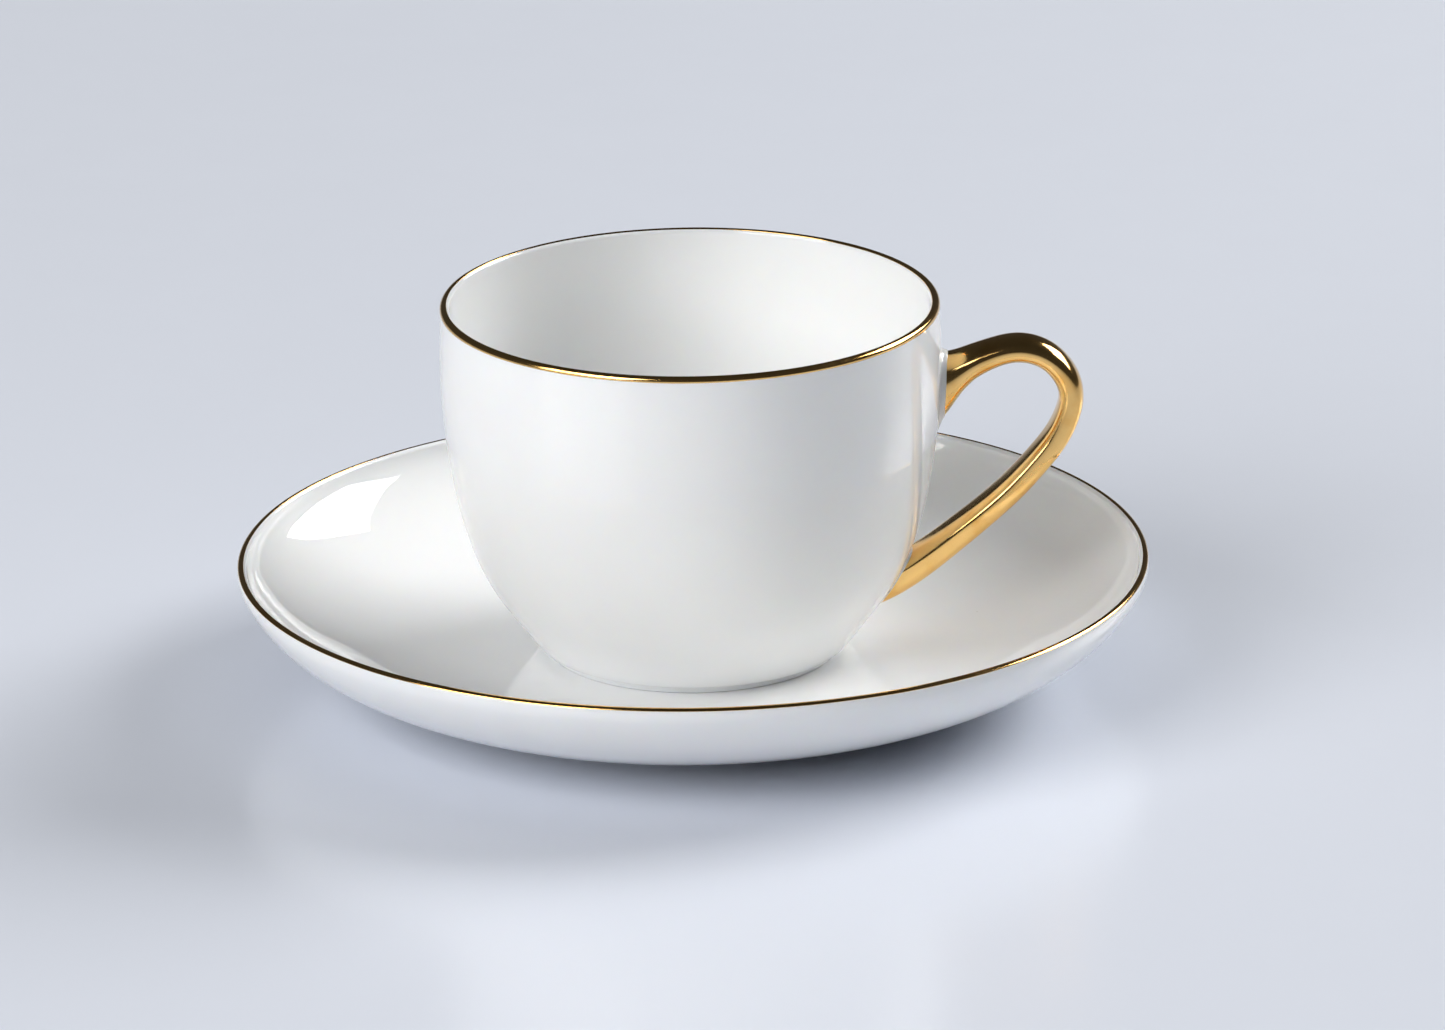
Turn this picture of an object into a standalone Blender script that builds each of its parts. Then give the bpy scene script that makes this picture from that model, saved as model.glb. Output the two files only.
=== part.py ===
"""Teacup standing on its matching saucer, in metres, +Z up.

The origin is the centre of the saucer's foot ring, on the table. The cup's handle points along +X.
The cup and the saucer are turned shapes. The handle is a loop of oval section that is cut to the
bowl's curve at both ends, where a thin fillet of slip joins it to the bowl.
"""
import bpy
import bmesh
import math
from mathutils import Vector

# ---------------------------------------------------------------- driving dimensions
MM = 0.001
GAP = 0.3 * MM                   # clearance that neighbouring pieces keep

SAUCER_RADIUS = 75.0 * MM        # over the rim band
SAUCER_HEIGHT = 21.2 * MM        # table to the top of the rim band
SAUCER_WELL_Z = 5.4 * MM         # top of the flat well that the cup stands on
SAUCER_RECESS_Z = 2.0 * MM       # underside of the floor inside the foot ring
SAUCER_FOOT_OUT = 42.0 * MM
SAUCER_FOOT_IN = 39.6 * MM

CUP_HEIGHT = 59.2 * MM           # foot to the top of the lip band
CUP_FOOT_OUT = 25.3 * MM
CUP_FOOT_IN = 23.0 * MM
CUP_RECESS = 1.3 * MM            # depth of the hollow inside the cup's foot
CUP_LIP_OUT = 40.75 * MM
CUP_LIP_IN = 39.25 * MM
CUP_BASE_Z = SAUCER_WELL_Z + GAP # height of the cup's foot over the table

BAND_HEIGHT = 1.0 * MM           # gold band over the cup's lip
SAUCER_BAND_HEIGHT = 0.9 * MM    # gold band over the saucer's edge

SLIP_THICKNESS = 0.8 * MM        # fillet between the handle and the bowl

CUP_STEPS = 56                   # facets round the cup
SAUCER_STEPS = 64                # facets round the saucer
HANDLE_SEGMENTS = 44             # rings along the handle

# Cup wall, outside, from the lip to the foot: radius, height over the cup's foot (mm).
CUP_OUTSIDE = [(40.80, 57.9), (41.00, 52.0), (40.90, 44.0), (40.20, 36.0), (39.00, 28.0),
               (37.30, 21.0), (35.25, 15.4), (32.70, 10.7), (30.00, 6.9), (27.70, 3.8),
               (26.10, 1.7)]
# Cup wall, inside, from the centre of the floor to the lip.
CUP_INSIDE = [(0.0, 4.1), (12.0, 4.25), (20.0, 4.9), (26.0, 6.9), (30.0, 10.8), (32.9, 15.5),
              (35.2, 21.2), (37.0, 28.0), (38.3, 36.0), (39.05, 44.0), (39.30, 52.0),
              (39.25, 57.9)]
# Saucer, underside, from the rim to the foot ring.
SAUCER_UNDERSIDE = [(74.85, 20.0), (74.45, 18.6), (73.0, 16.0), (70.0, 12.6), (65.0, 8.9),
                    (60.0, 6.35), (55.0, 4.4), (50.0, 2.85), (46.0, 1.95), (43.6, 1.5)]
# Saucer, upper side, from the centre of the well to the rim.
SAUCER_UPPER = [(0.0, 5.4), (30.0, 5.4), (38.0, 5.5), (44.0, 5.9), (50.0, 6.75), (55.0, 8.0),
                (60.0, 9.85), (65.0, 12.2), (69.0, 14.8), (71.6, 17.2), (72.9, 19.0),
                (73.4, 20.0)]

# Handle: centre line in the XZ plane, half thickness in that plane, half width along Y (mm).
HANDLE_STATIONS = [(38.6, 50.5, 5.30, 4.4), (42.0, 50.9, 4.85, 4.3), (44.2, 52.2, 3.45, 4.1),
                   (46.6, 53.9, 2.65, 3.9), (50.0, 55.35, 2.28, 3.8), (54.0, 55.95, 2.14, 3.8),
                   (57.4, 55.1, 2.14, 3.8), (60.1, 53.05, 2.15, 3.8), (61.8, 50.2, 2.15, 3.7),
                   (62.2, 47.5, 2.15, 3.7), (61.5, 44.4, 2.18, 3.7), (59.8, 40.9, 2.22, 3.7),
                   (57.0, 37.15, 2.26, 3.7), (53.0, 32.65, 2.30, 3.7), (48.4, 28.35, 2.36, 3.8),
                   (43.0, 23.85, 2.52, 3.8), (37.2, 19.4, 2.75, 3.9), (31.2, 15.9, 3.00, 4.0),
                   (25.6, 14.0, 3.20, 4.0)]


# ---------------------------------------------------------------- small helpers
def clear_scene():
    for ob in list(bpy.data.objects):
        bpy.data.objects.remove(ob, do_unlink=True)


def catmull(points, per_span):
    """A smooth curve through the points, with per_span steps between neighbours."""
    pts = [Vector(p) for p in points]
    pts = [2 * pts[0] - pts[1]] + pts + [2 * pts[-1] - pts[-2]]
    out = []
    for i in range(1, len(pts) - 2):
        p0, p1, p2, p3 = pts[i - 1:i + 3]
        t0 = 0.0
        t1 = t0 + max((p1 - p0).length, 1e-9) ** 0.5
        t2 = t1 + max((p2 - p1).length, 1e-9) ** 0.5
        t3 = t2 + max((p3 - p2).length, 1e-9) ** 0.5
        for k in range(per_span):
            t = t1 + (t2 - t1) * k / per_span
            a1 = (t1 - t) / (t1 - t0) * p0 + (t - t0) / (t1 - t0) * p1
            a2 = (t2 - t) / (t2 - t1) * p1 + (t - t1) / (t2 - t1) * p2
            a3 = (t3 - t) / (t3 - t2) * p2 + (t - t2) / (t3 - t2) * p3
            b1 = (t2 - t) / (t2 - t0) * a1 + (t - t0) / (t2 - t0) * a2
            b2 = (t3 - t) / (t3 - t1) * a2 + (t - t1) / (t3 - t1) * a3
            out.append((t2 - t) / (t2 - t1) * b1 + (t - t1) / (t2 - t1) * b2)
    out.append(pts[-2])
    return out


def resample(points, count):
    """The same polyline with count points at even spacing."""
    lengths = [0.0]
    for a, b in zip(points, points[1:]):
        lengths.append(lengths[-1] + (b - a).length)
    out = []
    k = 0
    for i in range(count):
        s = lengths[-1] * i / (count - 1)
        while k < len(points) - 2 and lengths[k + 1] < s:
            k += 1
        span = max(lengths[k + 1] - lengths[k], 1e-12)
        out.append(points[k].lerp(points[k + 1], min(1.0, (s - lengths[k]) / span)))
    return out


def material(name, color, roughness, metallic):
    mat = bpy.data.materials.new(name)
    mat.use_nodes = True
    bsdf = mat.node_tree.nodes["Principled BSDF"]
    bsdf.inputs["Base Color"].default_value = (*color, 1.0)
    bsdf.inputs["Roughness"].default_value = roughness
    bsdf.inputs["Metallic"].default_value = metallic
    mat.diffuse_color = (*color, 1.0)
    return mat


def turned(name, profile, steps, closed, collection):
    """Turn a profile, a list of (radius, height) in metres, about the Z axis."""
    mesh = bpy.data.meshes.new(name)
    verts = [(r, 0.0, z) for r, z in profile]
    edges = [(i, i + 1) for i in range(len(verts) - 1)]
    if closed:
        edges.append((len(verts) - 1, 0))
    mesh.from_pydata(verts, edges, [])
    ob = bpy.data.objects.new(name, mesh)
    collection.objects.link(ob)
    screw = ob.modifiers.new("turn", "SCREW")
    screw.axis = "Z"
    screw.angle = 2 * math.pi
    screw.steps = steps
    screw.render_steps = steps
    screw.use_merge_vertices = True
    screw.merge_threshold = 0.00001
    screw.use_smooth_shade = True
    return ob


def frozen(ob):
    """The object with its modifiers, or its curve, made into a plain welded mesh."""
    graph = bpy.context.evaluated_depsgraph_get()
    graph.update()
    mesh = bpy.data.meshes.new_from_object(ob.evaluated_get(graph))
    bm = bmesh.new()
    bm.from_mesh(mesh)
    bmesh.ops.remove_doubles(bm, verts=bm.verts, dist=1e-6)
    bm.to_mesh(mesh)
    bm.free()
    new = bpy.data.objects.new(ob.name, mesh)
    new.matrix_world = ob.matrix_world.copy()
    collection = ob.users_collection[0]
    name = ob.name
    bpy.data.objects.remove(ob, do_unlink=True)
    new.name = name
    collection.objects.link(new)
    return new


def boolean(ob, cutter, operation):
    mod = ob.modifiers.new(operation.lower(), "BOOLEAN")
    mod.operation = operation
    mod.object = cutter
    mod.solver = "EXACT"


def as_cutter(ob):
    ob.hide_render = True
    ob.display_type = "WIRE"


def smooth(ob, angle):
    ob.data.shade_smooth()
    ob.data.set_sharp_from_angle(angle=math.radians(angle))


def offset_outline(points, distance):
    """Move an outline outward by distance along its normals. It runs top to bottom at +r."""
    out = []
    for i, p in enumerate(points):
        a = points[max(i - 1, 0)]
        b = points[min(i + 1, len(points) - 1)]
        d = (b - a).normalized()
        out.append(Vector((p.x - d.y * distance, p.y + d.x * distance)))
    return out


# ---------------------------------------------------------------- pieces
def cup_profile():
    outside = catmull([(r * MM, z * MM) for r, z in CUP_OUTSIDE], 1)
    inside = catmull([(r * MM, z * MM) for r, z in CUP_INSIDE], 1)
    foot = [Vector((CUP_FOOT_OUT, 0.9 * MM)), Vector((CUP_FOOT_OUT - 0.15 * MM, 0.0)),
            Vector((CUP_FOOT_IN + 0.15 * MM, 0.0)), Vector((CUP_FOOT_IN, 0.9 * MM)),
            Vector((CUP_FOOT_IN - 1.2 * MM, CUP_RECESS)), Vector((0.0, CUP_RECESS))]
    points = inside + outside + foot
    return [(p.x, p.y + CUP_BASE_Z) for p in points]


def saucer_profile():
    under = catmull([(r * MM, z * MM) for r, z in SAUCER_UNDERSIDE], 1)
    upper = catmull([(r * MM, z * MM) for r, z in SAUCER_UPPER], 1)
    foot = [Vector((SAUCER_FOOT_OUT + 0.1 * MM, 0.9 * MM)), Vector((SAUCER_FOOT_OUT, 0.0)),
            Vector((SAUCER_FOOT_IN, 0.0)), Vector((SAUCER_FOOT_IN - 0.2 * MM, 1.1 * MM)),
            Vector((SAUCER_FOOT_IN - 1.8 * MM, SAUCER_RECESS_Z)), Vector((0.0, SAUCER_RECESS_Z))]
    points = upper + under + foot
    return [(p.x, p.y) for p in points]


def band_profile(r_in, r_out, z_low, height):
    """A ring of rounded top, as a closed outline that runs down its outer side."""
    crown = []
    steps = 4
    mid = 0.5 * (r_in + r_out)
    half = 0.5 * (r_out - r_in)
    rise = 0.55 * height
    for i in range(steps + 1):
        a = math.pi * (1 - i / steps)
        crown.append((mid + half * math.cos(a), z_low + height - rise + rise * math.sin(a)))
    return [(r_in, z_low)] + crown + [(r_out, z_low)]


def wall_cutter(name, offset, collection):
    """The cup's bowl as a solid plug, grown by offset, to trim what is joined to the wall."""
    outline = catmull([(r * MM, z * MM) for r, z in CUP_OUTSIDE], 1)
    outline = offset_outline(outline, offset)
    top = Vector((outline[0].x, outline[0].y + 12 * MM))
    bottom = Vector((outline[-1].x, outline[-1].y - 6 * MM))
    points = [Vector((0.0, top.y)), top] + outline + [bottom, Vector((0.0, bottom.y))]
    plug = turned(name, [(p.x, p.y + CUP_BASE_Z) for p in points], CUP_STEPS, False, collection)
    plug = frozen(plug)
    as_cutter(plug)
    return plug


def handle_tube(name, stations, rings, grow, collection, sides=4):
    """A tube along the stations, whose section goes from round to oval as the stations say."""
    path = catmull([(x * MM, z * MM, a * MM, b * MM) for x, z, a, b in stations], 6)
    path = resample(path, rings)
    curve = bpy.data.curves.new(name, "CURVE")
    curve.dimensions = "3D"
    curve.bevel_depth = 1.0 * MM
    curve.bevel_resolution = sides
    curve.use_fill_caps = True
    curve.twist_mode = "MINIMUM"
    spline = curve.splines.new("POLY")
    spline.points.add(len(path) - 1)
    for point, p in zip(spline.points, path):
        point.co = (p[0], 0.0, p[1], 1.0)
        point.radius = (p[2] + grow) / MM
    ob = bpy.data.objects.new(name, curve)
    collection.objects.link(ob)
    ob = frozen(ob)
    for v in ob.data.vertices:
        near = min(path, key=lambda p: (v.co.x - p[0]) ** 2 + (v.co.z - p[1]) ** 2)
        v.co.y *= (near[3] + grow) / (near[2] + grow)
    bm = bmesh.new()
    bm.from_mesh(ob.data)
    bmesh.ops.recalc_face_normals(bm, faces=bm.faces)
    bm.to_mesh(ob.data)
    bm.free()
    return ob


def build():
    clear_scene()
    parts = bpy.data.collections.new("teacup_and_saucer")
    cutters = bpy.data.collections.new("cutters")
    bpy.context.scene.collection.children.link(parts)
    bpy.context.scene.collection.children.link(cutters)

    glaze = material("white_glaze", (0.86, 0.87, 0.88), 0.06, 0.0)
    saucer_glaze = material("saucer_glaze", (0.86, 0.87, 0.88), 0.06, 0.0)
    slip = material("slip_glaze", (0.84, 0.84, 0.84), 0.15, 0.0)
    gilt = material("handle_gilding", (0.83, 0.56, 0.22), 0.08, 1.0)
    lip_gold = material("lip_gold", (0.80, 0.53, 0.22), 0.12, 1.0)
    rim_gold = material("saucer_rim_gold", (0.80, 0.53, 0.22), 0.12, 1.0)

    # saucer
    saucer = turned("saucer_body", saucer_profile(), SAUCER_STEPS, False, parts)
    saucer.data.materials.append(saucer_glaze)
    z_cut = 20.0 * MM
    band = turned("saucer_rim_band",
                  band_profile(73.4 * MM, SAUCER_RADIUS, z_cut + GAP,
                               SAUCER_HEIGHT - z_cut - GAP), SAUCER_STEPS, True, parts)
    band.data.materials.append(rim_gold)

    # cup
    bowl = turned("cup_bowl", cup_profile(), CUP_STEPS, False, parts)
    bowl.data.materials.append(glaze)
    lip_z = CUP_BASE_Z + CUP_HEIGHT - BAND_HEIGHT
    lip = turned("cup_rim_band", band_profile(CUP_LIP_IN, CUP_LIP_OUT, lip_z, BAND_HEIGHT),
                 CUP_STEPS, True, parts)
    lip.data.materials.append(lip_gold)

    # handle, trimmed clear of the wall and of the slip
    wall_near = wall_cutter("wall_clearance", GAP, cutters)
    wall_slip = wall_cutter("slip_layer", GAP + SLIP_THICKNESS, cutters)
    wall_far = wall_cutter("handle_clearance", 2 * GAP + SLIP_THICKNESS, cutters)

    handle = handle_tube("cup_handle", HANDLE_STATIONS, HANDLE_SEGMENTS, 0.0, parts)
    boolean(handle, wall_far, "DIFFERENCE")
    handle.data.materials.append(gilt)

    # slip fillets: a layer between the wall and each end of the handle, a little wider than it
    for name, stations in (("upper_handle_joint", HANDLE_STATIONS[:4]),
                           ("lower_handle_joint", HANDLE_STATIONS[-4:])):
        fillet = handle_tube(name, stations, 8, 0.25 * MM, parts)
        boolean(fillet, wall_near, "DIFFERENCE")
        boolean(fillet, wall_slip, "INTERSECT")
        fillet.data.materials.append(slip)

    for ob in parts.objects:
        if ob.data.polygons:
            smooth(ob, 35)


build()
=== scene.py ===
"""Looks of the teacup and its matching saucer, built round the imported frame.

Every visible piece is a fine mesh that stands for one CAD node: turned porcelain with a rounded
lip, a lofted handle of oval section that runs into the wall, slip fillets where the handle meets
the bowl, and thin films of gold over the lips. Sizes are in millimetres inside the helpers and in
metres in the meshes.
"""
import bpy
import math
import numpy as np
from mathutils import Matrix, Vector


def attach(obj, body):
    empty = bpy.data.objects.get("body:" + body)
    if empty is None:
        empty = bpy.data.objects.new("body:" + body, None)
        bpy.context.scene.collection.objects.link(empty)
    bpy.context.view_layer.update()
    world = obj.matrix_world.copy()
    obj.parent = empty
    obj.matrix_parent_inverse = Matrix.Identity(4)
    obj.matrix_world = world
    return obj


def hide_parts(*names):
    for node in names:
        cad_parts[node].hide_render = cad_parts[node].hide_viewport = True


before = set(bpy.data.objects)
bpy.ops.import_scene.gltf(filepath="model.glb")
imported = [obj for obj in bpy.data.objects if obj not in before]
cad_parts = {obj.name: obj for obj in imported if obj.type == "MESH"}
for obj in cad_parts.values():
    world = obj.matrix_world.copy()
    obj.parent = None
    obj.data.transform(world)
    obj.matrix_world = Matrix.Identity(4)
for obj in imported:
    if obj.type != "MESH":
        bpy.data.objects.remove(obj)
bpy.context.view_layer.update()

MM = 0.001
CUP_BASE = 5.7                       # height of the cup's foot over the table
CUP_STEPS = 288
SAUCER_STEPS = 320

# ------------------------------------------------------------------ profiles, mm
CUP_INSIDE = [(0.0, 4.1), (6.0, 4.12), (12.0, 4.25), (20.0, 4.95), (26.0, 7.05), (30.0, 10.8),
              (32.9, 15.5), (35.2, 21.2), (37.0, 28.0), (38.3, 36.0), (39.0, 44.0),
              (39.25, 52.0), (39.27, 56.5), (39.26, 58.35)]
CUP_OUTSIDE = [(40.82, 58.35), (40.87, 56.5), (41.00, 52.0), (40.90, 44.0), (40.20, 36.0),
               (39.00, 28.0), (37.30, 21.0), (35.25, 15.4), (32.70, 10.7), (30.00, 6.9),
               (27.70, 3.8), (26.30, 1.95)]
CUP_LIP = (40.04, 58.35, 0.78, 0.80)       # centre radius, height, half width, rise
SAUCER_UPPER = [(0.0, 5.4), (12.0, 5.4), (24.0, 5.4), (31.0, 5.42), (38.0, 5.5), (44.0, 5.9),
                (50.0, 6.75), (55.0, 8.0), (60.0, 9.85), (65.0, 12.2), (69.0, 14.8),
                (71.6, 17.2), (72.95, 19.0), (73.42, 20.4)]
SAUCER_UNDER = [(74.98, 20.4), (74.88, 19.5), (74.35, 18.2), (73.0, 16.0), (70.0, 12.6),
                (65.0, 8.9), (60.0, 6.35), (55.0, 4.4), (50.0, 2.85), (46.0, 1.95),
                (43.9, 1.6)]
SAUCER_LIP = (74.20, 20.40, 0.78, 0.77)

# Handle: centre line in the XZ plane, half thickness in that plane, half width along Y.
HANDLE = [(37.6, 48.7, 6.6, 5.0), (40.2, 49.4, 5.8, 4.75), (42.3, 50.7, 4.8, 4.5),
          (44.05, 52.2, 3.75, 4.25), (46.2, 53.75, 2.92, 4.0), (48.4, 54.85, 2.42, 3.85),
          (51.0, 55.75, 2.26, 3.8), (54.0, 56.08, 2.24, 3.8), (57.4, 55.18, 2.20, 3.8), (60.1, 53.05, 2.15, 3.8), (61.8, 50.2, 2.15, 3.7),
          (62.2, 47.5, 2.15, 3.7), (61.5, 44.4, 2.18, 3.7), (59.8, 40.9, 2.22, 3.7),
          (57.0, 37.15, 2.26, 3.7), (53.0, 32.65, 2.30, 3.7), (48.4, 28.35, 2.36, 3.8),
          (43.0, 23.85, 2.52, 3.8), (37.2, 19.4, 2.75, 3.9), (31.2, 15.9, 3.00, 4.0),
          (25.6, 14.0, 3.20, 4.0)]


# ------------------------------------------------------------------ curve helpers
def spline(stations, per_span=24):
    """A natural cubic through the stations, sampled finely. Parameter is root chord length."""
    p = np.array(stations, float)
    t = np.concatenate([[0.0], np.cumsum(np.sqrt(np.linalg.norm(np.diff(p[:, :2], axis=0), axis=1)))])
    n = len(p)
    h = np.diff(t)
    a = np.zeros((n, n))
    rhs = np.zeros((n, p.shape[1]))
    a[0, 0] = a[-1, -1] = 1.0
    for i in range(1, n - 1):
        a[i, i - 1], a[i, i], a[i, i + 1] = h[i - 1], 2 * (h[i - 1] + h[i]), h[i]
        rhs[i] = 6 * ((p[i + 1] - p[i]) / h[i] - (p[i] - p[i - 1]) / h[i - 1])
    m = np.linalg.solve(a, rhs)
    out = []
    for i in range(n - 1):
        for k in range(per_span):
            u = h[i] * k / per_span
            w = h[i] - u
            out.append((m[i] * w ** 3 + m[i + 1] * u ** 3) / (6 * h[i])
                       + (p[i] / h[i] - m[i] * h[i] / 6) * w
                       + (p[i + 1] / h[i] - m[i + 1] * h[i] / 6) * u)
    out.append(p[-1])
    return np.array(out)


def respace(points, spacing):
    """The same line with points at even spacing, its ends kept."""
    points = np.asarray(points, float)
    s = np.concatenate([[0.0], np.cumsum(np.linalg.norm(np.diff(points, axis=0), axis=1))])
    count = max(2, int(round(s[-1] / spacing)) + 1)
    at = np.linspace(0, s[-1], count)
    return np.stack([np.interp(at, s, points[:, k]) for k in range(points.shape[1])], -1)


def rounded(points, radii, steps=6):
    """A polyline with its inner corners rounded by arcs of the given radii."""
    p = [np.array(q, float) for q in points]
    out = [p[0]]
    for i in range(1, len(p) - 1):
        a = p[i - 1] - p[i]
        b = p[i + 1] - p[i]
        la, lb = np.linalg.norm(a), np.linalg.norm(b)
        a, b = a / la, b / lb
        half = 0.5 * math.acos(max(-1.0, min(1.0, float(a @ b))))
        cut = min(radii[i - 1] / max(math.tan(half), 1e-6), 0.49 * la, 0.49 * lb)
        start, end = p[i] + a * cut, p[i] + b * cut
        for k in range(steps + 1):
            u = k / steps
            out.append((1 - u) ** 2 * start + 2 * u * (1 - u) * p[i] + u * u * end)
    out.append(p[-1])
    return np.array(out)


def arc_over(lip, steps=26):
    """The rounded lip, from its inner side over the top to its outer side."""
    r, z, half, rise = lip
    return np.array([(r + half * math.cos(math.pi * (1 - k / steps)),
                      z + rise * math.sin(math.pi * (1 - k / steps))) for k in range(steps + 1)])


def join(*lines):
    out = [np.asarray(lines[0])]
    for line in lines[1:]:
        out.append(np.asarray(line)[1:] if np.allclose(line[0], out[-1][-1], atol=1e-4) else line)
    return np.concatenate(out)


# ------------------------------------------------------------------ mesh helpers
def mesh_object(name, verts, faces, uvs=None):
    mesh = bpy.data.meshes.new(name)
    mesh.from_pydata([tuple(v) for v in verts], [], faces)
    if uvs is not None:
        layer = mesh.uv_layers.new(name="UVMap")
        layer.data.foreach_set("uv", np.array(uvs, np.float32).ravel())
    mesh.validate()
    mesh.update()
    mesh.shade_smooth()
    ob = bpy.data.objects.new(name, mesh)
    bpy.context.scene.collection.objects.link(ob)
    return ob


def lathe(name, profile, steps, lift=0.0, closed=False):
    """Turn a profile (mm) about Z. An end on the axis becomes a single point."""
    p = np.array(profile, float)
    verts, rings = [], []
    angles = [2 * math.pi * k / steps for k in range(steps)]
    for r, z in p:
        if r < 1e-6:
            rings.append([len(verts)])
            verts.append((0.0, 0.0, (z + lift) * MM))
        else:
            rings.append(list(range(len(verts), len(verts) + steps)))
            verts += [(r * math.cos(a) * MM, r * math.sin(a) * MM, (z + lift) * MM) for a in angles]
    s = np.concatenate([[0.0], np.cumsum(np.linalg.norm(np.diff(p, axis=0), axis=1))]) / 100.0
    faces, uvs = [], []
    pairs = list(range(len(p) - 1)) + ([len(p) - 1] if closed else [])
    for i in pairs:
        j = (i + 1) % len(p)
        a, b = rings[i], rings[j]
        va, vb = s[i], (s[j] if j > i else s[i] + 0.01)
        for k in range(steps):
            n = (k + 1) % steps
            u0, u1 = k / steps, (k + 1) / steps
            if len(a) == 1 and len(b) == 1:
                continue
            if len(a) == 1:
                faces.append((a[0], b[k], b[n]))
                uvs += [(0.5 * (u0 + u1), va), (u0, vb), (u1, vb)]
            elif len(b) == 1:
                faces.append((a[k], b[0], a[n]))
                uvs += [(u0, va), (0.5 * (u0 + u1), vb), (u1, va)]
            else:
                faces.append((a[k], b[k], b[n], a[n]))
                uvs += [(u0, va), (u0, vb), (u1, vb), (u1, va)]
    return mesh_object(name, verts, faces, uvs)


def grid_ring(name, rows, close_rows, cap_ends):
    """Rings of points (rows x columns x 3, in mm) joined into a tube, or into a closed ring."""
    rows = np.asarray(rows, float)
    n, m = rows.shape[:2]
    verts = [tuple(v * MM) for v in rows.reshape(-1, 3)]
    faces, uvs = [], []
    length = np.concatenate([[0.0], np.cumsum(np.linalg.norm(np.diff(rows.mean(1), axis=0), axis=1))])
    for i in range(n if close_rows else n - 1):
        j = (i + 1) % n
        va, vb = length[i] / 100.0, (length[j] if j > i else length[i] + 0.5) / 100.0
        for k in range(m):
            q = (k + 1) % m
            faces.append((i * m + k, i * m + q, j * m + q, j * m + k))
            uvs += [(k / m, va), ((k + 1) / m, va), ((k + 1) / m, vb), (k / m, vb)]
    if cap_ends:
        for i, flip in ((0, True), (n - 1, False)):
            centre = len(verts)
            verts.append(tuple(rows[i].mean(0) * MM))
            for k in range(m):
                q = (k + 1) % m
                tri = (centre, i * m + q, i * m + k) if flip else (centre, i * m + k, i * m + q)
                faces.append(tri)
                uvs += [(0.5, 0.0), (0.0, 0.0), (0.1, 0.0)]
    ob = mesh_object(name, verts, faces, uvs)
    return outward(ob)


def outward(ob):
    """Turn the faces of a closed mesh so that its volume is positive."""
    me = ob.data
    me.calc_loop_triangles()
    volume = 0.0
    for t in me.loop_triangles:
        a, b, c = (me.vertices[i].co for i in t.vertices)
        volume += a.dot(b.cross(c))
    if volume < 0:
        me.flip_normals()
    return ob


def wobble(angle, seed, size):
    """A small smooth change round a turn, that meets itself."""
    out = 0.0
    for k, (freq, gain) in enumerate(((2, 1.0), (3, 0.8), (5, 0.7), (9, 0.5), (16, 0.35), (31, 0.2))):
        out += gain * math.sin(freq * angle + seed * (k + 1.7) * 1.37)
    return out * size / 2.2


def film(name, line, steps, start, end, lift, thick, seed, swing, lean=None):
    """A film of gold over a lip: from start to end along the line (mm of arc), with hand-laid edges
    whose place varies by swing, and thickness thick over the glaze."""
    line = np.asarray(line, float)
    s = np.concatenate([[0.0], np.cumsum(np.linalg.norm(np.diff(line, axis=0), axis=1))])
    tangent = np.gradient(line, axis=0)
    tangent /= np.linalg.norm(tangent, axis=1)[:, None]
    normal = np.stack([-tangent[:, 1], tangent[:, 0]], -1)
    across = 17
    rows = []
    for k in range(steps):
        a = 2 * math.pi * k / steps
        lo = start + wobble(a, seed, swing) + (lean(a) if lean else 0.0)
        hi = end + wobble(a, seed + 3.1, swing)
        ring = []
        for i in range(across):
            u = i / (across - 1)
            at = lo + (hi - lo) * u
            p = np.array([np.interp(at, s, line[:, 0]), np.interp(at, s, line[:, 1])])
            nn = np.array([np.interp(at, s, normal[:, 0]), np.interp(at, s, normal[:, 1])])
            nn /= np.linalg.norm(nn)
            edge = min(1.0, min(u, 1 - u) * 9.0)
            ring.append(p + nn * thick * (math.sqrt(edge) if edge > 0 else 0.0))
        for i in range(across - 1, -1, -1):
            u = i / (across - 1)
            at = lo + (hi - lo) * u
            p = np.array([np.interp(at, s, line[:, 0]), np.interp(at, s, line[:, 1])])
            nn = np.array([np.interp(at, s, normal[:, 0]), np.interp(at, s, normal[:, 1])])
            nn /= np.linalg.norm(nn)
            ring.append(p - nn * 0.05)
        rows.append([(q[0] * math.cos(a), q[0] * math.sin(a), q[1] + lift) for q in ring])
    ob = grid_ring(name, rows, True, False)
    return ob


# ------------------------------------------------------------------ bowl and saucer
cup_outer = spline(CUP_OUTSIDE)
bowl_line = join(respace(spline(CUP_INSIDE), 0.9), arc_over(CUP_LIP),
                 respace(cup_outer, 0.8),
                 rounded([(26.30, 1.95), (25.62, 1.22), (24.20, 1.30), (23.95, -0.26), (22.95, -0.26),
                          (22.6, 0.75), (21.8, 1.3), (18.0, 1.3)],
                         [0.28, 0.35, 0.2, 0.22, 0.5, 0.8]),
                 [(12.0, 1.3), (6.0, 1.3), (0.0, 1.3)])
bowl = lathe("bowl", bowl_line, CUP_STEPS, CUP_BASE)

saucer_line = join(respace(spline(SAUCER_UPPER), 1.1), arc_over(SAUCER_LIP),
                   respace(spline(SAUCER_UNDER), 1.0),
                   rounded([(43.90, 1.60), (42.65, 1.28), (42.25, 0.7), (42.0, 0.0), (40.0, 0.0),
                            (39.6, 0.9), (38.6, 1.95), (34.0, 2.0)],
                           [0.8, 0.7, 0.35, 0.35, 0.7, 1.2]),
                   [(24.0, 2.0), (12.0, 2.0), (0.0, 2.0)])
saucer = lathe("saucer", saucer_line, SAUCER_STEPS)

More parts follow.
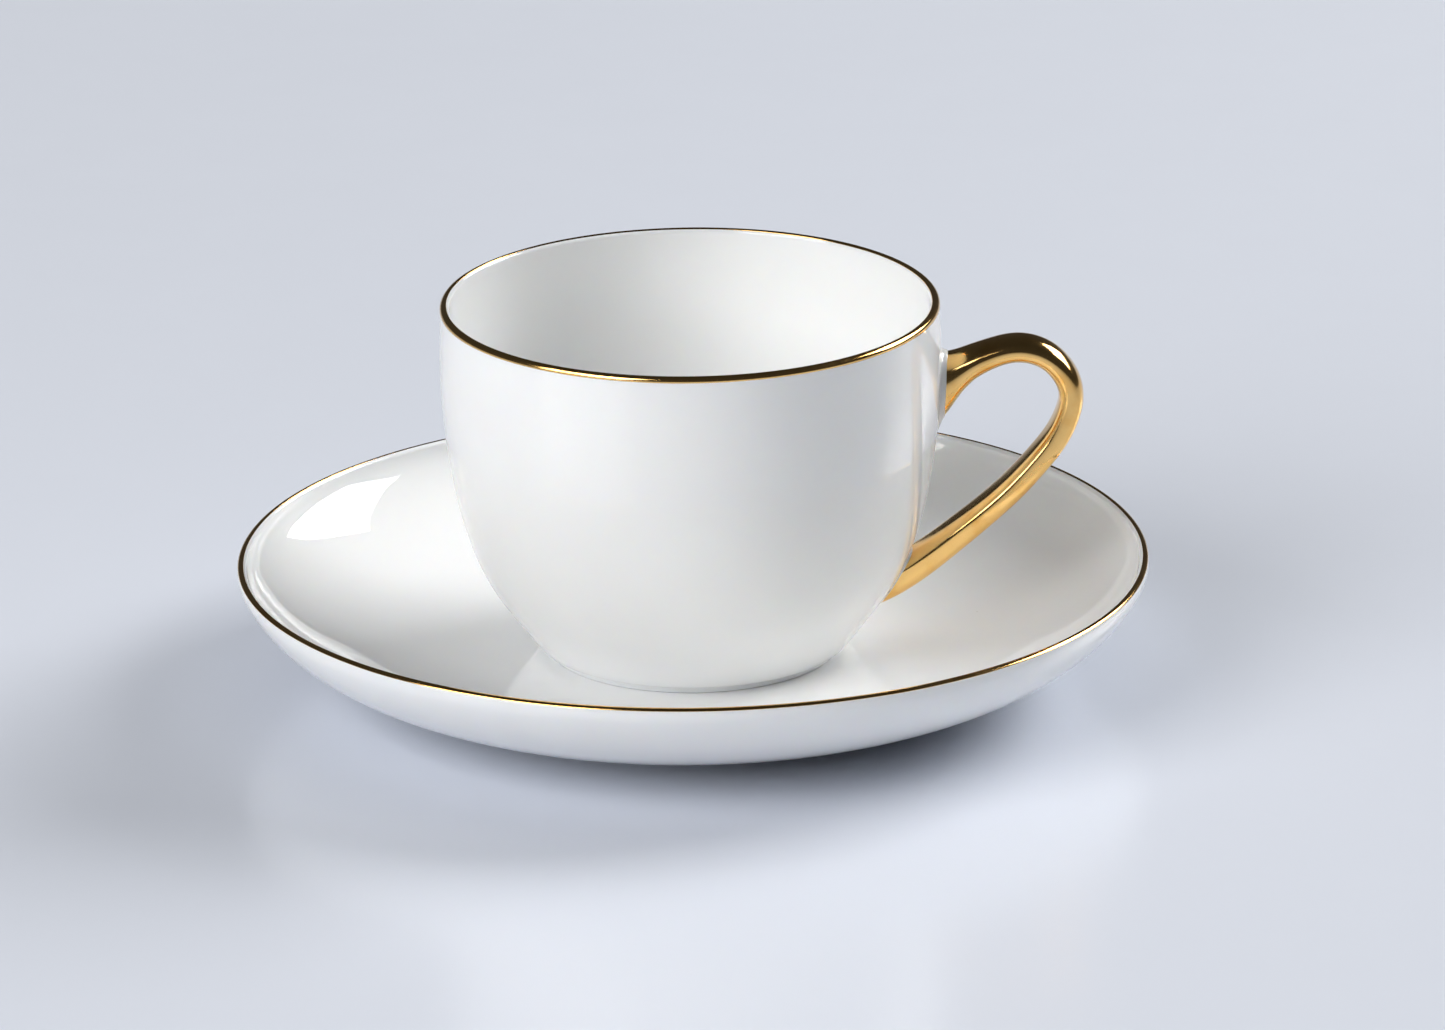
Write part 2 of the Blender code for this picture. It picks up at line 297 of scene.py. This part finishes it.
# ------------------------------------------------------------------ gold films on the lips
cup_lip_line = np.concatenate([arc_over(CUP_LIP, 60), respace(cup_outer, 0.05)[1:40]])
lip_length = np.linalg.norm(np.diff(arc_over(CUP_LIP, 60), axis=0), axis=1).sum()
lip_gold = film("lip_gold_film", cup_lip_line, CUP_STEPS, 0.92, lip_length + 0.08, CUP_BASE, 0.022,
                1.3, 0.035, lean=lambda a: -0.16 - 0.16 * math.cos(a))
saucer_lip_line = np.concatenate([arc_over(SAUCER_LIP, 60),
                                  respace(spline(SAUCER_UNDER), 0.05)[1:40]])
rim_gold = film("saucer_rim_gold_film", saucer_lip_line, SAUCER_STEPS, 0.95,
                lip_length - 0.45, 0.0, 0.018, 4.2, 0.05)

# ------------------------------------------------------------------ handle
wall_z = cup_outer[::-1, 1] + CUP_BASE
wall_r = cup_outer[::-1, 0]
wall_slope = np.gradient(wall_r, wall_z)


def wall_distance(p):
    """Height of points over the bowl's outer face, negative inside it."""
    r = np.hypot(p[..., 0], p[..., 1])
    z = p[..., 2]
    slope = np.interp(z, wall_z, wall_slope)
    return (r - np.interp(z, wall_z, wall_r)) / np.sqrt(1 + slope ** 2)


def wall_normal(p):
    r = np.hypot(p[..., 0], p[..., 1])
    slope = np.interp(p[..., 2], wall_z, wall_slope)
    k = 1 / np.sqrt(1 + slope ** 2)
    return np.stack([p[..., 0] / r * k, p[..., 1] / r * k, -slope * k], -1)


SIDES = 72
path = respace(spline(HANDLE, 40), 0.12)
tangent = np.gradient(path[:, :2], axis=0)
tangent /= np.linalg.norm(tangent, axis=1)[:, None]
up = np.stack([-tangent[:, 1], tangent[:, 0]], -1)
run = np.concatenate([[0.0], np.cumsum(np.linalg.norm(np.diff(path[:, :2], axis=0), axis=1))])
# The root flares straight up and down; further out each section stands across the handle.
upright = np.clip((51.0 - path[:, 0]) / 5.0, 0.0, 1.0) * (run < 25.0)
upright = (upright * upright * (3 - 2 * upright))[:, None]
up = up * (1 - upright) + np.array([0.0, 1.0]) * upright
up /= np.linalg.norm(up, axis=1)[:, None]
theta = 2 * np.pi * np.arange(SIDES) / SIDES
# The section goes from a plain oval at the root to a flatter, squarer strap on the long arm.
strap = np.clip((run - 22.0) / 16.0, 0.0, 1.0)
strap = strap * strap * (3 - 2 * strap)
power = (2 / (2.15 + 1.0 * strap))[:, None]
flat = (1.0 - 0.085 * strap)[:, None]
cos_t = np.sign(np.cos(theta)) * np.abs(np.cos(theta)) ** power * flat
sin_t = np.sign(np.sin(theta)) * np.abs(np.sin(theta)) ** power
tube = np.stack([path[:, 0, None] + path[:, 2, None] * cos_t * up[:, 0, None],
                 path[:, 3, None] * sin_t,
                 path[:, 1, None] + path[:, 2, None] * cos_t * up[:, 1, None]], -1)
depth = wall_distance(tube)


def crossing(column, height, from_start):
    """Where a line of the tube leaves the given height over the wall, as a fractional row."""
    d = depth[:, column] - height
    if from_start:
        k = int(np.argmax(d > 0))
        return k - d[k] / (d[k] - d[k - 1])
    k = len(d) - 1 - int(np.argmax(d[::-1] > 0))
    return k + d[k] / (d[k] - d[k + 1])


def along(column, at):
    k = np.clip(np.floor(at).astype(int), 0, len(path) - 2)
    f = (at - k)[..., None]
    return tube[k, column] * (1 - f) + tube[k + 1, column] * f


rings = 260
handle_rows = np.zeros((rings, SIDES, 3))
for c in range(SIDES):
    a = crossing(c, -0.45, True)
    b = crossing(c, -0.45, False)
    handle_rows[:, c] = along(c, np.linspace(a, b, rings))
handle = grid_ring("gilded_handle", handle_rows, False, True)


def fillet(name, from_start, tall, wide, bead):
    """The slip where the handle meets the bowl: a soft bead against the handle that runs out on
    the wall. tall, wide and bead are functions of the angle round the handle, in mm."""
    foot = np.array([along(c, np.array(crossing(c, 0.0, from_start))) for c in range(SIDES)])
    centre = foot.mean(0)
    rows = []
    for c in range(SIDES):
        t = theta[c]
        k = foot[c]
        n = wall_normal(k)
        out = k - centre
        out = out - n * (out @ n)
        out /= np.linalg.norm(out)
        h, f, b = tall(t), wide(t), bead(t)
        top = along(c, np.array(crossing(c, h, from_start)))
        mid = along(c, np.array(crossing(c, 0.55 * h, from_start)))
        p0 = top + out * 0.02
        p1 = top + out * (0.55 * b) - n * 0.02
        p2 = mid + out * (b + 0.05)
        p3 = k + out * (0.55 * f) + n * (0.20 * h)
        p4 = k + out * f
        p4 = p4 - n * (wall_distance(p4[None])[0] + 0.04)
        curve = []
        for i in range(13):
            u = i / 12
            v = 1 - u
            curve.append(v ** 4 * p0 + 4 * v ** 3 * u * p1 + 6 * v * v * u * u * p2
                         + 4 * v * u ** 3 * p3 + u ** 4 * p4)
        curve.append(k + out * (0.4 * f) - n * 0.45)
        curve.append(k - out * 0.35 - n * 0.40)
        curve.append(top - out * 0.35 - n * 0.15)
        rows.append(curve)
    return grid_ring(name, rows, True, False)


upper_fillet = fillet(
    "upper_slip_fillet", True,
    tall=lambda t: 0.92 + 0.10 * math.cos(t) + 0.30 * max(0.0, -math.cos(t)) ** 4 + 0.06 * math.sin(3 * t + 0.6),
    wide=lambda t: 0.75 + 1.25 * max(0.0, -math.cos(t)) ** 3 + 0.15 * math.sin(2 * t + 1.1),
    bead=lambda t: 0.26 + 0.06 * math.sin(2 * t + 0.4))
lower_fillet = fillet(
    "lower_slip_fillet", False,
    tall=lambda t: 0.50 + 0.08 * math.sin(2 * t + 0.9),
    wide=lambda t: 0.55 + 0.12 * math.sin(3 * t + 2.0),
    bead=lambda t: 0.14)


# ------------------------------------------------------------------ materials
class Nodes:
    """Short calls for building a node tree."""

    def __init__(self, material):
        material.use_nodes = True
        self.tree = material.node_tree
        self.tree.nodes.clear()

    def add(self, kind, inputs=None, **props):
        node = self.tree.nodes.new(kind)
        for key, value in props.items():
            setattr(node, key, value)
        for key, value in (inputs or {}).items():
            if isinstance(value, bpy.types.NodeSocket):
                self.tree.links.new(value, node.inputs[key])
            else:
                node.inputs[key].default_value = value
        return node

    def ramp(self, fac, stops):
        node = self.add("ShaderNodeValToRGB", {"Fac": fac})
        ramp = node.color_ramp
        while len(ramp.elements) < len(stops):
            ramp.elements.new(0.5)
        for element, (at, color) in zip(ramp.elements, stops):
            element.position = at
            element.color = (*color, 1.0) if len(color) == 3 else color
        return node.outputs["Color"]


def porcelain(name, tint, seed):
    """Clear gloss glaze over bone china: faint tone changes, a few tiny specks, a softly uneven
    glaze surface and a little light in the body."""
    mat = bpy.data.materials.new(name)
    n = Nodes(mat)
    place = n.add("ShaderNodeTexCoord").outputs["Object"]
    moved = n.add("ShaderNodeMapping", {"Vector": place, "Location": (seed, seed * 0.7, seed * 0.3)})
    v = moved.outputs["Vector"]
    cloud = n.add("ShaderNodeTexNoise", {"Vector": v, "Scale": 28.0, "Detail": 4.0, "Roughness": 0.55})
    tone = n.ramp(cloud.outputs["Fac"], [(0.30, tuple(c * 0.972 for c in tint)),
                                         (0.55, tint), (0.80, (tint[0] * 1.0, tint[1] * 0.995, tint[2] * 0.982))])
    cell = n.add("ShaderNodeTexVoronoi", {"Vector": v, "Scale": 210.0, "Randomness": 1.0})
    rare = n.add("ShaderNodeTexNoise", {"Vector": v, "Scale": 120.0, "Detail": 1.0})
    dot = n.add("ShaderNodeMath", {0: cell.outputs["Distance"], 1: 0.035}, operation="LESS_THAN")
    few = n.add("ShaderNodeMath", {0: rare.outputs["Fac"], 1: 0.66}, operation="GREATER_THAN")
    spot = n.add("ShaderNodeMath", {0: dot.outputs[0], 1: few.outputs[0]}, operation="MULTIPLY")
    specks = n.add("ShaderNodeMix", {0: spot.outputs[0], 6: tone, 7: (0.42, 0.38, 0.33, 1.0)},
                   data_type="RGBA")
    rough_noise = n.add("ShaderNodeTexNoise", {"Vector": v, "Scale": 90.0, "Detail": 3.0})
    rough = n.add("ShaderNodeMapRange", {"Value": rough_noise.outputs["Fac"], "From Min": 0.3,
                                         "From Max": 0.7, "To Min": 0.012, "To Max": 0.034})
    slow = n.add("ShaderNodeTexNoise", {"Vector": v, "Scale": 55.0, "Detail": 2.0, "Roughness": 0.4})
    peel = n.add("ShaderNodeTexNoise", {"Vector": v, "Scale": 420.0, "Detail": 2.0, "Roughness": 0.4})
    b1 = n.add("ShaderNodeBump", {"Height": slow.outputs["Fac"], "Strength": 0.3, "Distance": 0.00012})
    b2 = n.add("ShaderNodeBump", {"Height": peel.outputs["Fac"], "Strength": 0.25, "Distance": 0.000012,
                                  "Normal": b1.outputs["Normal"]})
    shader = n.add("ShaderNodeBsdfPrincipled", {
        "Base Color": specks.outputs[2], "Roughness": rough.outputs["Result"],
        "Normal": b2.outputs["Normal"], "IOR": 1.52})
    shader.inputs["Subsurface Weight"].default_value = 0.22
    shader.inputs["Subsurface Radius"].default_value = (1.0, 0.75, 0.5)
    shader.inputs["Subsurface Scale"].default_value = 0.0022
    out = n.add("ShaderNodeOutputMaterial", {"Surface": shader.outputs["BSDF"]})
    return mat


def gilding(name, color, warm, seed, streak, uv_scale):
    """Burnished gold over glaze: mirror bright, a little redder where it is thin, with fine
    burnishing lines along the piece and faint ripples from the brush."""
    mat = bpy.data.materials.new(name)
    n = Nodes(mat)
    coords = n.add("ShaderNodeTexCoord")
    place = n.add("ShaderNodeMapping", {"Vector": coords.outputs["Object"],
                                        "Location": (seed, seed * 0.5, 0.0)}).outputs["Vector"]
    lines = n.add("ShaderNodeMapping", {"Vector": coords.outputs["UV"], "Scale": uv_scale}).outputs["Vector"]
    tone = n.add("ShaderNodeTexNoise", {"Vector": place, "Scale": 160.0, "Detail": 4.0, "Roughness": 0.6})
    color_out = n.ramp(tone.outputs["Fac"], [(0.32, warm), (0.52, color), (0.78, tuple(min(1.0, c * 1.06) for c in color))])
    brush = n.add("ShaderNodeTexNoise", {"Vector": lines, "Scale": 1.0, "Detail": 3.0, "Roughness": 0.6})
    wear = n.add("ShaderNodeTexNoise", {"Vector": place, "Scale": 700.0, "Detail": 3.0, "Roughness": 0.65})
    mix = n.add("ShaderNodeMath", {0: brush.outputs["Fac"], 1: wear.outputs["Fac"]}, operation="ADD")
    rough = n.add("ShaderNodeMapRange", {"Value": mix.outputs[0], "From Min": 0.7, "From Max": 1.35,
                                         "To Min": 0.05, "To Max": 0.19})
    ripple = n.add("ShaderNodeTexNoise", {"Vector": place, "Scale": 210.0, "Detail": 1.0})
    b1 = n.add("ShaderNodeBump", {"Height": ripple.outputs["Fac"], "Strength": 0.25, "Distance": 0.00006})
    b2 = n.add("ShaderNodeBump", {"Height": brush.outputs["Fac"], "Strength": streak, "Distance": 0.00001,
                                  "Normal": b1.outputs["Normal"]})
    shader = n.add("ShaderNodeBsdfPrincipled", {
        "Base Color": color_out, "Roughness": rough.outputs["Result"], "Normal": b2.outputs["Normal"],
        "Metallic": 1.0})
    n.add("ShaderNodeOutputMaterial", {"Surface": shader.outputs["BSDF"]})
    return mat


WHITE = (0.912, 0.923, 0.930)
cup_glaze = porcelain("cup_glaze", WHITE, 0.0)
saucer_glaze = porcelain("saucer_glaze", WHITE, 3.7)
slip_glaze = porcelain("slip_glaze", (0.875, 0.875, 0.865), 8.1)
GOLD = (0.89, 0.565, 0.205)
WARM = (0.82, 0.46, 0.13)
handle_gold = gilding("handle_gilding", GOLD, WARM, 0.2, 0.5, (160.0, 3.0, 1.0))
lip_line = gilding("lip_gold", GOLD, WARM, 1.9, 0.5, (30.0, 900.0, 1.0))
rim_line = gilding("saucer_rim_gold", GOLD, WARM, 2.6, 0.5, (30.0, 900.0, 1.0))

for piece, mat, body, nodes, slot in (
        (bowl, cup_glaze, "cup", ["cup_bowl"], "cup_glaze"),
        (lip_gold, lip_line, "cup", ["cup_rim_band"], "lip_gold"),
        (handle, handle_gold, "cup", ["cup_handle"], "handle_gilding"),
        (upper_fillet, slip_glaze, "cup", ["upper_handle_joint"], "slip_glaze"),
        (lower_fillet, slip_glaze, "cup", ["lower_handle_joint"], "slip_glaze"),
        (saucer, saucer_glaze, "saucer", ["saucer_body"], "saucer_glaze"),
        (rim_gold, rim_line, "saucer", ["saucer_rim_band"], "saucer_rim_gold")):
    piece.data.materials.append(mat)
    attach(piece, body)
    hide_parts(*nodes)

# ------------------------------------------------------------------ floor
floor = mesh_object("floor", [(-9, -9, -0.00005), (9, -9, -0.00005), (9, 9, -0.00005), (-9, 9, -0.00005)],
                    [(0, 1, 2, 3)])
floor_mat = bpy.data.materials.new("pale_floor")
n = Nodes(floor_mat)
place = n.add("ShaderNodeTexCoord").outputs["Object"]
haze = n.add("ShaderNodeTexNoise", {"Vector": place, "Scale": 3.0, "Detail": 3.0})
tone = n.ramp(haze.outputs["Fac"], [(0.25, (0.765, 0.805, 0.895)), (0.75, (0.787, 0.827, 0.918))])
grain = n.add("ShaderNodeTexNoise", {"Vector": place, "Scale": 60.0, "Detail": 2.0})
grain_rough = n.add("ShaderNodeMapRange", {"Value": grain.outputs["Fac"], "To Min": 0.19, "To Max": 0.25})
surface = n.add("ShaderNodeBsdfPrincipled", {"Base Color": tone, "Roughness": grain_rough.outputs["Result"]})
surface.inputs["IOR"].default_value = 1.5
clear = n.add("ShaderNodeBsdfTransparent")
side = n.add("ShaderNodeNewGeometry")
mixed = n.add("ShaderNodeMixShader", {0: side.outputs["Backfacing"], 1: surface.outputs["BSDF"],
                                      2: clear.outputs["BSDF"]})
n.add("ShaderNodeOutputMaterial", {"Surface": mixed.outputs["Shader"]})
floor.data.materials.append(floor_mat)


# ------------------------------------------------------------------ light
def softbox(name, toward, distance, width, height, power, color=(1.0, 1.0, 1.0)):
    data = bpy.data.lights.new(name, "AREA")
    data.shape = "RECTANGLE"
    data.size = width
    data.size_y = height
    data.energy = power
    data.color = color
    lamp = bpy.data.objects.new(name, data)
    bpy.context.scene.collection.objects.link(lamp)
    direction = Vector(toward).normalized()
    lamp.location = direction * distance + Vector((0, 0, 0.03))
    lamp.rotation_euler = (-direction).to_track_quat("-Z", "Y").to_euler()
    lamp.visible_camera = False
    return lamp


softbox("left_softbox", (-0.662, -0.558, 0.50), 2.4, 1.84, 1.52, 50.0, (1.0, 0.99, 0.98))
softbox("right_softbox", (0.719, 0.467, 0.515), 2.4, 1.52, 0.99, 52.5, (1.0, 0.99, 0.975))

overhead = softbox("overhead_fill", (0.05, 0.35, 0.93), 2.4, 2.2, 2.2, 12.5, (0.98, 0.995, 1.0))
overhead.visible_glossy = False

world = bpy.data.worlds.new("studio")
bpy.context.scene.world = world
n = Nodes(world)
where = n.add("ShaderNodeTexCoord").outputs["Generated"]
height = n.add("ShaderNodeSeparateXYZ", {"Vector": where}).outputs["Z"]
shift = n.add("ShaderNodeMapRange", {"Value": height, "From Min": -1.0, "From Max": 1.0,
                                     "To Min": 0.0, "To Max": 1.0})
sky = n.ramp(shift.outputs["Result"], [(0.0, (0.40, 0.43, 0.48)), (0.497, (0.40, 0.43, 0.48)),
                                       (0.505, (0.10, 0.105, 0.11)), (0.56, (0.045, 0.045, 0.045)),
                                       (1.0, (0.03, 0.03, 0.03))])
back = n.add("ShaderNodeBackground", {"Color": sky, "Strength": 1.0})
n.add("ShaderNodeOutputWorld", {"Surface": back.outputs["Background"]})

# ------------------------------------------------------------------ camera
CAM_BACK, CAM_UP = 1.51566, 0.54692
YAW, PITCH, ROLL = math.radians(0.1866), math.radians(18.907), math.radians(0.6624)
forward = Vector((math.sin(YAW) * math.cos(PITCH), math.cos(YAW) * math.cos(PITCH), -math.sin(PITCH)))
right = Vector((math.cos(YAW), -math.sin(YAW), 0.0))
upward = right.cross(forward)
cam_x = right * math.cos(ROLL) - upward * math.sin(ROLL)
cam_y = right * math.sin(ROLL) + upward * math.cos(ROLL)
camera_data = bpy.data.cameras.new("camera")
camera_data.sensor_width = 36.0
camera_data.lens = 9748.78 / 1445.0 * 36.0
camera_data.clip_start = 0.05
camera_data.clip_end = 60.0
camera = bpy.data.objects.new("camera", camera_data)
bpy.context.scene.collection.objects.link(camera)
camera.matrix_world = Matrix(((cam_x.x, cam_y.x, -forward.x, 0.0),
                              (cam_x.y, cam_y.y, -forward.y, -CAM_BACK),
                              (cam_x.z, cam_y.z, -forward.z, CAM_UP),
                              (0.0, 0.0, 0.0, 1.0)))
bpy.context.scene.camera = camera
bpy.context.scene.view_settings.view_transform = "Standard"
bpy.context.scene.view_settings.look = "None"
